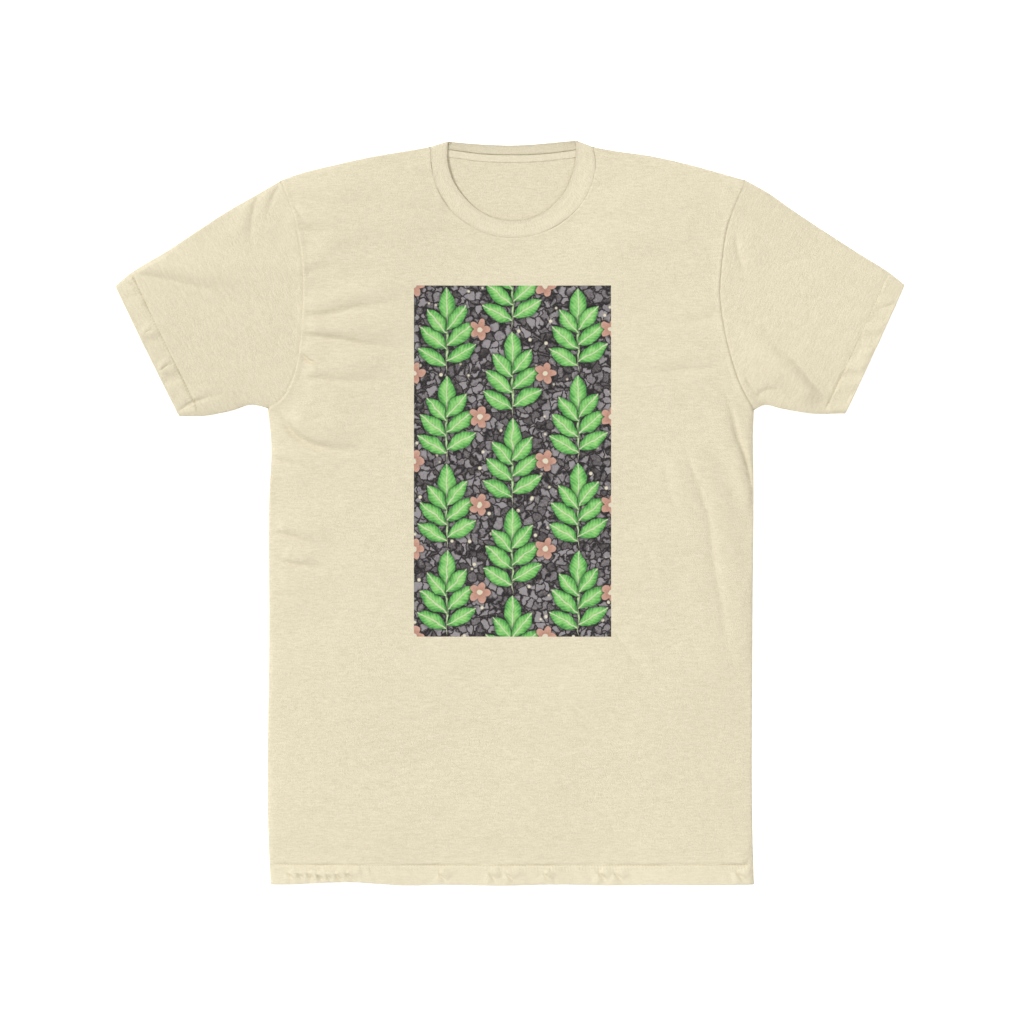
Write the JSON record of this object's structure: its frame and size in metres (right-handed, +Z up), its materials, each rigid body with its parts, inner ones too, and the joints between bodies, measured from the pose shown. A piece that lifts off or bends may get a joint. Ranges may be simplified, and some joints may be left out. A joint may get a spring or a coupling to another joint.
{
  "type": "t-shirt",
  "caption": "Short-sleeved crew-neck T-shirt in natural cotton jersey with a printed panel on the chest, laid flat on its back; worn on the upper body.",
  "frame": {"origin": "on the surface the shirt lies on, under the middle of its bounding box", "axes": "+Z up out of the shirt's front, +Y from the hem to the collar, +X towards the wearer's left sleeve"},
  "size_m": [0.79, 0.745, 0.0138],
  "materials": {
    "jersey": "natural cream cotton single jersey, matt, printed on the chest",
    "rib": "natural cream cotton rib knit, matt",
    "tape": "natural cream cotton jersey tape, matt"
  },
  "bodies": {
    "root": {"front_panel": "jersey", "back_panel": "jersey", "left_sleeve": "jersey", "right_sleeve": "jersey", "collar_rib": "rib", "neck_tape": "tape"}
  },
  "joints": []
}
